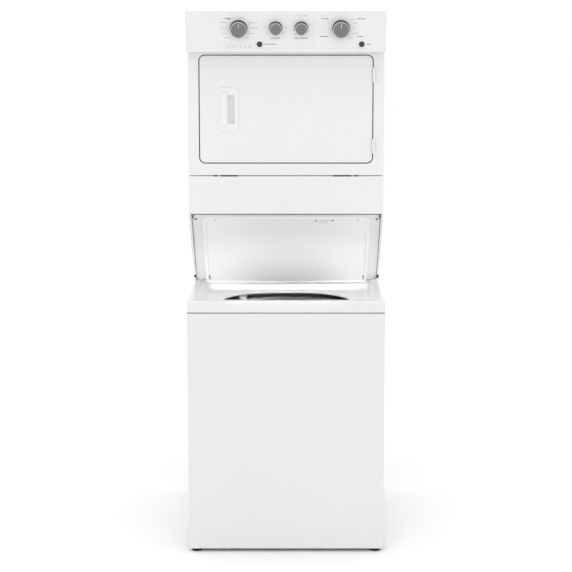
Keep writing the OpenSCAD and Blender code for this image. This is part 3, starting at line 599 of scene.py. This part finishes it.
def tube(bm, path, radius, sides=10):
    """A round wire along a list of points, with both ends closed."""
    rings = []
    side = Vector((1, 0, 0))
    for i, point in enumerate(path):
        ahead = (path[min(i + 1, len(path) - 1)] - path[max(i - 1, 0)]).normalized()
        if abs(ahead.dot(side)) > 0.9:
            side = Vector((0, 0.7, 0.7))
        across = (side - ahead * side.dot(ahead)).normalized()
        side = across
        up = ahead.cross(across)
        rings.append([point + (across * math.cos(a) + up * math.sin(a)) * radius * MM
                      for a in [2 * math.pi * k / sides for k in range(sides)]])
    loft(bm, rings)


def hinge_bushings():
    """The lid's two hinge pins, and the oval plugs in the stand's sloping edges above them."""
    profile = [(0, 0), (3, 0.4), (3, 17.4), (5.2, 17.6), (5.2, 25.4), (4.6, 26), (0, 26)]
    plug_w, plug_h, plug_r = 8.2, 15, 4
    bm = bmesh.new()
    for side in (-1, 1):
        turn = Matrix.Rotation(side * math.pi / 2, 4, "Y")
        lathe(bm, profile, 32, Matrix.Translation(place(side * 320, *HINGE)) @ turn)
        at = lid_axes(side * 341.4, 31, 8)
        rows = []
        for i, n in ((0, 0), (0, 8.6), (0.6, 9.8), (1.8, 10.6)):
            plug = outline(plug_w - 2 * i, plug_h - 2 * i, plug_r - i, 6, 1)
            rows.append([at @ (Vector((x, s, n)) * MM) for x, s in plug])
        loft(bm, rows)
    settle("lid_hinge_bushings", bm, "cabinet", RUBBER, ["lid_hinge_pins"])


# ---------------------------------------------------------------- stand and dryer front


def lower_fascia():
    """The panel under the dryer, open behind so that the lid's tip can tuck in."""
    box = (-HALF, HALF, FASCIA_LOW, FASCIA_HIGH)
    sheet = 1.5

    def back(z):
        """The flanges reach 20 mm back, except the lower one, which stops short of the lid."""
        return DRYER_FRONT + (20 if z > FASCIA_LOW + 6 else 5.5)

    stations = [(0, back)] + [(i, DRYER_FRONT + 4 - rise) for i, rise in fillet(4)]
    outside = wall_rings(box, FRONT_R, stations + [(40, DRYER_FRONT)])
    stations = [(40, DRYER_FRONT + 1.6), (5.5, DRYER_FRONT + 1.6), (3, DRYER_FRONT + 2.4),
                (1.6, DRYER_FRONT + 4.4), (sheet, back)]
    inside = wall_rings(box, FRONT_R, stations)
    bm = bmesh.new()
    loft(bm, outside, cap_first=False)
    loft(bm, inside, cap_last=False)
    bm.verts.ensure_lookup_table()
    count = len(outside[0])
    first = bm.verts[:count]
    last = bm.verts[-count:]
    for i in range(count):
        j = (i + 1) % count
        bm.faces.new((first[i], last[i], last[j], first[j]))
    settle("lower_fascia_panel", bm, "cabinet", WHITE, ["lower_fascia"])

    # Near-black blocks in the seam above the fascia: painted shade in its slots.
    bm = bmesh.new()
    seam = (FASCIA_HIGH + DRYER_LOW) / 2
    for x0, x1 in ((-257, -243), (-232, -171), (166, 231), (242, 257)):
        spot = place(0, DRYER_FRONT + 2.1, seam)
        brick(bm, ((x0 + x1) / 2, 0, 0), (x1 - x0, 4, 4.6), Matrix.Translation(spot))
    settle("fascia_slot_painted_shade", bm, "cabinet", SHADOW)

    # A dark grey strip under the fascia's lower edge: a painted shadow line above the lid's tip.
    bm = bmesh.new()
    spot = place(0, DRYER_FRONT + 3, FASCIA_LOW - 1)
    brick(bm, (0, 0, 0), (676, 3.4, 2.6), Matrix.Translation(spot))
    settle("fascia_lower_painted_shade", bm, "cabinet", PAINTED_SHADE_GREY)


def grown(box, by):
    return (box[0] - by, box[1] + by, box[2] - by, box[3] + by)


def dryer_front():
    """The dryer's front panel, with the door's recess and the drum's opening pressed into it."""
    outer = (-HALF, HALF, DRYER_LOW, DRYER_HIGH)
    recess, recess_r = grown(DOOR, DOOR_GAP), DOOR_R + DOOR_GAP
    stations = [(0.4, 190), (0, 189)] + [(i, DRYER_FRONT + 4 - rise) for i, rise in fillet(4)]
    rings = wall_rings(outer, FRONT_R, stations)
    edge = 1.8
    lip = [(i - edge, DRYER_FRONT + edge - rise) for i, rise in reversed(fillet(edge, 4))]
    rings += wall_rings(recess, recess_r, lip + [(0, 185.5), (1.2, 187)])
    mouth, radii = (-182, 182, 1424, 1697), [52, 52, 118, 118]
    rings += wall_rings(mouth, radii, [(-3, 187), (-0.8, 187.5), (0, 189), (0, 190)])
    bm = bmesh.new()
    loft(bm, rings, closed=True)
    settle("dryer_front_panel", bm, "cabinet", WHITE, ["dryer_front"])

    bm = bmesh.new()
    # A dark grey ring in the gap round the door: painted shade in the gap.
    seal = [(-0.2, 172), (0.6, 171.2), (1.6, 171.2), (2.2, 172), (2.2, 186), (-0.2, 186)]
    loft(bm, wall_rings(recess, recess_r, seal), closed=True)
    settle("door_gap_painted_shade", bm, "cabinet", PAINTED_SHADE_GREY)


def dryer_door():
    """The door's outer skin with a hole for its grip, the inner panel's raised plug and its seal."""
    grip = (-229.5, -177.5, 1494.5, 1629.5)
    edge = 2.6
    stations = [(0.5, 183), (0, 182.4)]
    stations += [(i, DRYER_FRONT + edge - rise) for i, rise in fillet(edge)]
    rings = wall_rings(DOOR, DOOR_R, stations)
    rings += wall_rings(grip, 4, [(-0.6, 167), (0, 167.6), (0, 182), (-1, 183)])
    bm = bmesh.new()
    loft(bm, rings, closed=True)
    settle("dryer_door_skin", bm, "dryer_door", WHITE, ["dryer_door"], 40)

    plug, radii = (-174, 174, 1432, 1689), [46, 46, 112, 112]
    flange = wall_rings(grown(DOOR, -0.2), DOOR_R, [(0, 183.1), (0, 184.2), (1, 185)])
    raised = [(-6, 185), (-1.5, 185.6), (0, 188), (0.6, 199), (2, 202), (5, 203), (26, 203), (30, 202),
              (33, 199.5), (37, 198.8)]
    bm = bmesh.new()
    loft(bm, flange + wall_rings(plug, radii, raised))
    settle("door_inner_panel", bm, "dryer_door", WHITE, ["door_liner"])

    seal = [(-12, 185), (-15, 185), (-16, 186), (-15, 187), (-12, 187), (-11, 186)]
    bm = bmesh.new()
    loft(bm, wall_rings(plug, radii, seal), closed=True)
    settle("door_seal", bm, "dryer_door", PALE_PLASTIC)


def door_handle():
    """A recessed pull: a framed cup with an upright grip along its left side."""
    frame_box, window = (-238, -169, 1486, 1638), (-203, -182, 1512, 1612)
    stations = [(9, 181.8), (8.6, 181), (8.4, 167.2), (1.2, 167.2), (0, 166.6)]
    stations += [(i, 165.6 - rise) for i, rise in fillet(1.4, 4)] + [(5, 164.2)]
    cup = [(-1.6, 164.2), (-0.4, 164.6), (0, 165.6), (0.4, 172), (1.6, 178.6), (3.5, 180.4)]
    bm = bmesh.new()
    loft(bm, wall_rings(frame_box, 7, stations) + wall_rings(window, 5, cup))
    grip = [(2, 168), (0.4, 166.5), (0, 164.6)] + [(i, 164.4 - rise) for i, rise in fillet(6.8, 6)]
    loft(bm, wall_rings((-229, -206, 1499, 1625), 10.5, grip))
    settle("door_grip", bm, "dryer_door", HANDLE_WHITE, ["door_handle"])


def door_hinges():
    """Two hinges: each has a knuckle at both ends on the front panel and one between them on the door."""
    knuckle_r, edge = 5, 0.5
    outer = ("hinge_frame_knuckles", "cabinet", "door_hinge_frames", ((0, 17), (35, 52)), 7, 3.5)
    inner = ("hinge_door_knuckles", "dryer_door", "door_hinge_leaves", ((17.4, 34.6),), 5.5, -6.25)
    for name, body, slot_name, parts, wide, x in (outer, inner):
        bm = bmesh.new()
        for foot_z in (1407, 1658):
            at = Matrix.Translation(place(*DOOR_AXIS, foot_z))
            for low, high in parts:
                middle, tall = (low + high) / 2, high - low - 0.2
                profile = [(0, low), (knuckle_r - edge, low), (knuckle_r, low + edge),
                           (knuckle_r, high - edge), (knuckle_r - edge, high), (0, high)]
                lathe(bm, profile, 32, at)
                brick(bm, (x, 3, middle), (wide, 6, tall), at)
                if body == "dryer_door":
                    brick(bm, (-2.4, -0.5, middle), (5, 5, tall), at)
        settle(name, bm, body, WHITE, [slot_name])


# ---------------------------------------------------------------- console and controls

UP = Vector((0, -math.sin(TILT), math.cos(TILT)))
OUT = Vector((0, -math.cos(TILT), -math.sin(TILT)))


def on_console(x, v, height=0.0):
    """A matrix on the console's face with local X along it, Y up it and Z out of it."""
    turn = Matrix((Vector((1, 0, 0)), UP, OUT)).transposed().to_4x4()
    return Matrix.Translation(place(x, *FOOT) + UP * v * MM + OUT * height * MM) @ turn


KNOBS = {"washer_cycle_knob": (-163, 84.5, 30.5), "dryer_cycle_knob": (190, 84.5, 30.5),
         "water_temp_knob": (-35.5, 86.5, 23.4), "load_size_knob": (53, 86.5, 23.4)}
BUTTONS = {"washer_start_button": (-91, 29), "dryer_start_button": (262, 29)}


def knob(name, x, v, r):
    """A knob with a dark waist, a bright ring, a spun face and a white pointer."""
    tall = r * 0.45 + 12.4
    large_r = 25
    waist = [(0, 0.8), (r - 0.6, 0.8), (r, 1.4), (r, 4.4), (r - 0.6, 5.2), (r - 1.2, 6)]
    crown = [(r - 1.8, tall - 4.4), (r - 2.0, tall - 3.4), (r - 2.7, tall - 1.3), (r - 3.6, tall - 0.7),
             (r - 4.3, tall - 0.9), (0, tall - 0.4)]
    parts = [0, 0, 0, 0, 0, 0, 0, 1, 1, 1, 2]
    bm = bmesh.new()
    lathe(bm, waist + crown, 96, Matrix(), parts)
    flutes = 40
    for vert in bm.verts:
        reach = math.hypot(vert.co.x, vert.co.y)
        if 5.5 * MM < vert.co.z < (tall - 3.9) * MM and reach > 1e-4:
            turn = math.atan2(vert.co.y, vert.co.x)
            grip = 1 - 0.012 * (1 + math.cos(flutes * turn))
            vert.co.x *= grip
            vert.co.y *= grip
    if r > large_r:
        brick(bm, (0, r * 0.5, tall - 0.45), (1.9, r * 0.5, 0.9), Matrix(), 3)
    materials = [KNOB_SIDE, KNOB_RING, KNOB_FACE, POINTER]
    settle(name + "_cap", bm, name, materials, [name], where=on_console(x, v))


def button(name, x, v):
    """A start button with a shallow dish in its face."""
    r = 9.6
    profile = [(0, -6), (r, -6), (r, 3.0), (r - 0.5, 3.7), (r - 1.4, 4.0), (r - 3, 3.8), (r - 5, 3.4),
               (0, 3.2)]
    bm = bmesh.new()
    lathe(bm, profile, 48)
    settle(name + "_cap", bm, name, BUTTON_DARK, [name], where=on_console(x, v))


def stamp(bm, x, v, w, h, material):
    """One printed bar: a thin plate with round ends lying on the console."""
    at = on_console(x, v, 0.02)
    ring = outline(w, h, min(w, h) * 0.42, 3, 1)
    rows = [[at @ Vector((px * MM, pv * MM, up * MM)) for px, pv in ring] for up in (0, 0.12)]
    before = set(bm.faces)
    loft(bm, rows)
    for face in set(bm.faces) - before:
        face.material_index = material


def words(bm, x0, x1, v, h, material, gaps=(0.6,)):
    """A label with no letters: a bar broken where the words would part."""
    stops = [0.0, *gaps, 1.0]
    for a, b in zip(stops, stops[1:]):
        w = (x1 - x0) * (b - a) - 1.2
        stamp(bm, x0 + (x1 - x0) * (a + b) / 2, v, max(w, 0.8), h, material)


def arc_print(bm, x, v, radius, a0, a1, material, width=0.5, steps=20):
    """A printed arc round a knob; angles in degrees, anticlockwise from the right."""
    at = on_console(x, v, 0.02)
    turns = [math.radians(a0 + (a1 - a0) * i / steps) for i in range(steps + 1)]
    for a, b in zip(turns, turns[1:]):
        flat = [(radius, a), (radius + width, a), (radius + width, b), (radius, b)]
        low, high = ([at @ Vector((r * math.cos(t) * MM, r * math.sin(t) * MM, up * MM)) for r, t in flat]
                     for up in (0, 0.12))
        before = set(bm.faces)
        loft(bm, [low, high])
        for face in set(bm.faces) - before:
            face.material_index = material


def console_print():
    """The console's printing, with no letters in it: bars, ticks, arcs and little signs."""
    bm = bmesh.new()
    dark, grey, pale = 0, 1, 2
    x, v, _ = KNOBS["washer_cycle_knob"]
    cycle_names = ((-66, -39, 21), (-62, -39, 2), (-58, -40, -18), (-48, -25, -33), (35, 64, 20),
                   (42, 68, 2), (36, 54, -18), (22, 36, -33))
    for x0, x1, dv in cycle_names:
        words(bm, x + x0, x + x1, v + dv, 1.5, grey)
    words(bm, x - 52, x - 26, v + 36, 2.0, dark, (0.4,))
    words(bm, x - 40, x - 27, v + 32.6, 1.8, dark, ())
    words(bm, x + 2, x + 22, v + 38, 1.4, grey)
    for k in range(6):
        sign = x - 38 + k * 15.2
        stamp(bm, sign, v - 66, 6.5, 0.7, grey)
        stamp(bm, sign - 2.9, v - 62.6, 0.7, 5.8, grey)
        stamp(bm, sign + 2.9, v - 62.6, 0.7, 5.8, grey)
        stamp(bm, sign, v - 62.4 + 0.6 * (k % 3), 3.2, 1.0 + k % 2, dark if k == 5 else pale)
    words(bm, x - 40, x - 12, v - 57, 1.0, pale)

    x, v, _ = KNOBS["water_temp_knob"]
    warmth_names = ((-41, -31, 2, 1.5), (-35, -23, -19, 1.5), (34, 40, 1, 2.6), (24, 32, -19, 1.5),
                    (-3, 3, -27, 1))
    for x0, x1, dv, h in warmth_names:
        words(bm, x + x0, x + x1, v + dv, h, grey, ())
    words(bm, x - 17, x + 17, v - 36, 2.2, dark, (0.55,))
    x, v, _ = KNOBS["load_size_knob"]
    for x0 in (-21, 19):
        stamp(bm, x + x0, v - 24, 2.6, 2.0, grey)
    words(bm, x - 26, x + 26, v - 36, 2.2, dark, (0.4,))
    stamp(bm, 9.0, 129, 136, 0.5, pale)
    words(bm, 42, 78, 129, 1.6, grey, (0.5,))
    words(bm, 114, 144, 129, 1.4, pale, (0.6,))
    stamp(bm, 95.5, 70, 0.4, 95, pale)

    x, v, r = KNOBS["dryer_cycle_knob"]
    for x0, x1, dv in ((-68, -43, 34), (55, 83, 34), (-73, -43, -28), (55, 78, -28)):
        words(bm, x + x0, x + x1, v + dv, 2.2, dark, (0.45,))
    for x0, x1, dv in ((31, 46, 32), (41, 57, 19), (40, 50, 2), (39, 57, -18), (25, 42, -33)):
        words(bm, x + x0, x + x1, v + dv, 1.4, grey, ())
    for angle in (90, 117, 136, 152, 188, 204, 223, 239, 256, 272):
        a = math.radians(angle)
        stamp(bm, x + 43 * math.cos(a), v + 41 * math.sin(a) + 0.5, 2.8, 2.0, grey)
    for a0, a1 in ((-75, 60), (118, 230)):
        arc_print(bm, x, v, r + 6.5, a0, a1, pale)
    x, v, r = KNOBS["washer_cycle_knob"]
    for a0, a1 in ((-58, 64), (118, 236)):
        arc_print(bm, x, v, r + 6.5, a0, a1, pale)
    for name, length, gaps in (("washer_start_button", 42, (0.42,)), ("dryer_start_button", 16, ())):
        x, v = BUTTONS[name]
        words(bm, x + 16, x + 16 + length, v, 2.0, dark, gaps)
    settle("console_graphics", bm, "cabinet", [INK_DARK, INK_GREY, INK_PALE])


# ---------------------------------------------------------------- springs


def suspension_springs():
    """Four coils under the tub's ears."""
    seat, low, high = 210, 212.4, 297.6
    turns, steps, coil_r = 6, 16, 12
    for k, (sx, sy) in enumerate(((-1, -1), (1, -1), (-1, 1), (1, 1))):
        x, d = sx * 275, TUB_AXIS + sy * 245
        bm = bmesh.new()
        path = []
        for i in range(turns * steps + 1):
            t = i / (turns * steps)
            a = 2 * math.pi * turns * t
            rise = min(max((t - 0.08) / 0.84, 0), 1)
            z = low + (high - low) * rise
            path.append(place(x + coil_r * math.cos(a), d + coil_r * math.sin(a), z))
        tube(bm, path, 2.3, 8)
        names = ["suspension_springs"] if k == 0 else []
        name = f"suspension_spring_{k + 1}"
        piece = settle(name, bm, "cabinet", SPRING_STEEL, names)
        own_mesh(piece)


# ---------------------------------------------------------------- carried-over CAD nodes

CARRIED = {
    "washer_cabinet": CABINET_WHITE, "stand_sides": WHITE, "backsplash": WHITE,
    "dryer_cabinet": WHITE, "dryer_top": WHITE,
    "console_fascia": CONSOLE_WHITE, "console_ends": CONSOLE_WHITE,
    "washer_base": BASE_GREY, "levelling_feet": RUBBER, "fill_nozzle": PALE_PLASTIC,
    "suspension_rods": ALLOY, "drain_pump": DARK_PLASTIC, "inlet_valve": PALE_PLASTIC,
    "outer_tub": GREY_PLASTIC, "tub_ring": RING_PLASTIC, "gearcase": CAST_IRON, "washer_motor": CAST_IRON,
    "washer_belt": RUBBER, "basket": STAINLESS, "balance_ring": DARK_PLASTIC, "agitator": GREY_PLASTIC,
    "drive_pulley": ALLOY, "motor_pulley": ALLOY, "rear_panel": ZINC, "dryer_base": ZINC,
    "control_switches": DARK_PLASTIC, "front_bulkhead": ZINC, "rear_bulkhead": ZINC, "lint_duct": ZINC,
    "heater_duct": ZINC, "dryer_motor": CAST_IRON, "drum_belt": RUBBER, "blower_housing": GREY_PLASTIC,
    "exhaust_duct": ALLOY, "terminal_cover": ZINC, "drum": DRUM_STEEL, "roller_left": RUBBER,
    "roller_right": RUBBER, "blower_wheel": DARK_PLASTIC, "lint_screen": PALE_PLASTIC,
}


def dress_carried():
    """Gives each CAD node that stays its material, softened edges and clean shading."""
    for name, material in CARRIED.items():
        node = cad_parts[name]
        node.data.materials.clear()
        node.data.materials.append(material)
        weld = node.modifiers.new("weld", "WELD")
        weld.merge_threshold = 0.00002
        bevel = node.modifiers.new("edges", "BEVEL")
        bevel.width = 0.0005
        bevel.segments = 2
        bevel.limit_method = "ANGLE"
        bevel.angle_limit = math.radians(40)
        bevel.harden_normals = False
        normals = node.modifiers.new("normals", "WEIGHTED_NORMAL")
        normals.keep_sharp = True
        for face in node.data.polygons:
            face.use_smooth = True


# ---------------------------------------------------------------- studio


def area_light(name, location, target, size, power, spread=180):
    """A rectangular light the camera doesn't see. Sizes are in metres, the spread in degrees."""
    data = bpy.data.lights.new(name, "AREA")
    data.shape = "RECTANGLE"
    data.size, data.size_y = size
    data.energy = power
    data.spread = math.radians(spread)
    light = bpy.data.objects.new(name, data)
    bpy.context.scene.collection.objects.link(light)
    light.visible_camera = False
    light.location = location
    light.rotation_euler = (Vector(target) - Vector(location)).to_track_quat("-Z", "Y").to_euler()


def studio():
    """A white room and floor, with narrow lights into the open lid, the well and the mouth."""
    world = bpy.data.worlds.new("studio")
    bpy.context.scene.world = world
    world.use_nodes = True
    back = world.node_tree.nodes["Background"]
    socket(back, "Color", (1.0, 1.0, 1.0, 1.0))
    socket(back, "Strength", 1.03)
    area_light("key", (-2.4, -5.2, 3.0), (0, 0, 1.1), (1.6, 2.2), 14)
    area_light("fill", (2.6, -5.0, 1.3), (0, 0, 0.9), (1.6, 2.2), 9)
    area_light("top", (0, -0.4, 4.4), (0, 0, 0.6), (3.0, 3.0), 22)
    area_light("lid_fill", (0, -3.2, 1.3), (0, -0.05, 1.03), (0.45, 0.12), 0.045, spread=3)
    area_light("deck_fill", (0, -3.2, 1.9), (0, -0.04, 0.95), (0.8, 0.1), 0.22, spread=4)
    area_light("mouth_fill", (0, -3.2, 1.49), (0, 0.16, 0.817), (0.36, 0.04), 0.02, spread=2)

    paint = Paint("studio_floor", (0.97, 0.97, 0.97), 0.8)
    paint.tint(paint.noise(0.6, 2.0), 0.995, 1.0)
    bm = bmesh.new()
    bmesh.ops.create_circle(bm, cap_ends=True, segments=96, radius=60)
    mesh = bpy.data.meshes.new("floor")
    bm.to_mesh(mesh)
    bm.free()
    floor = bpy.data.objects.new("floor", mesh)
    bpy.context.scene.collection.objects.link(floor)
    floor.location.z = LOW.z - 0.0005
    mesh.materials.append(paint.material)


def camera():
    """A long lens in front of the object, looking a little down at it."""
    data = bpy.data.cameras.new("camera")
    cam = bpy.data.objects.new("camera", data)
    bpy.context.scene.collection.objects.link(cam)
    bpy.context.scene.camera = cam
    data.sensor_width = 36
    data.lens = 102.8
    data.shift_x = -0.0135
    data.shift_y = -0.075
    data.clip_end = 200
    pitch = math.radians(8.18)
    cam.location = place(27, -5600, 1915)
    cam.rotation_euler = (math.pi / 2 - pitch, 0, 0)


bpy.context.scene.view_settings.view_transform = "Standard"
bpy.context.scene.view_settings.look = "None"
camera()
studio()
dress_carried()
washer_top()
washer_lid()
lid_liner()
lid_fittings()
hinge_bushings()
lower_fascia()
dryer_front()
dryer_door()
door_handle()
door_hinges()
for knob_name, spot in KNOBS.items():
    knob(knob_name, *spot)
for button_name, spot in BUTTONS.items():
    button(button_name, *spot)
console_print()
suspension_springs()
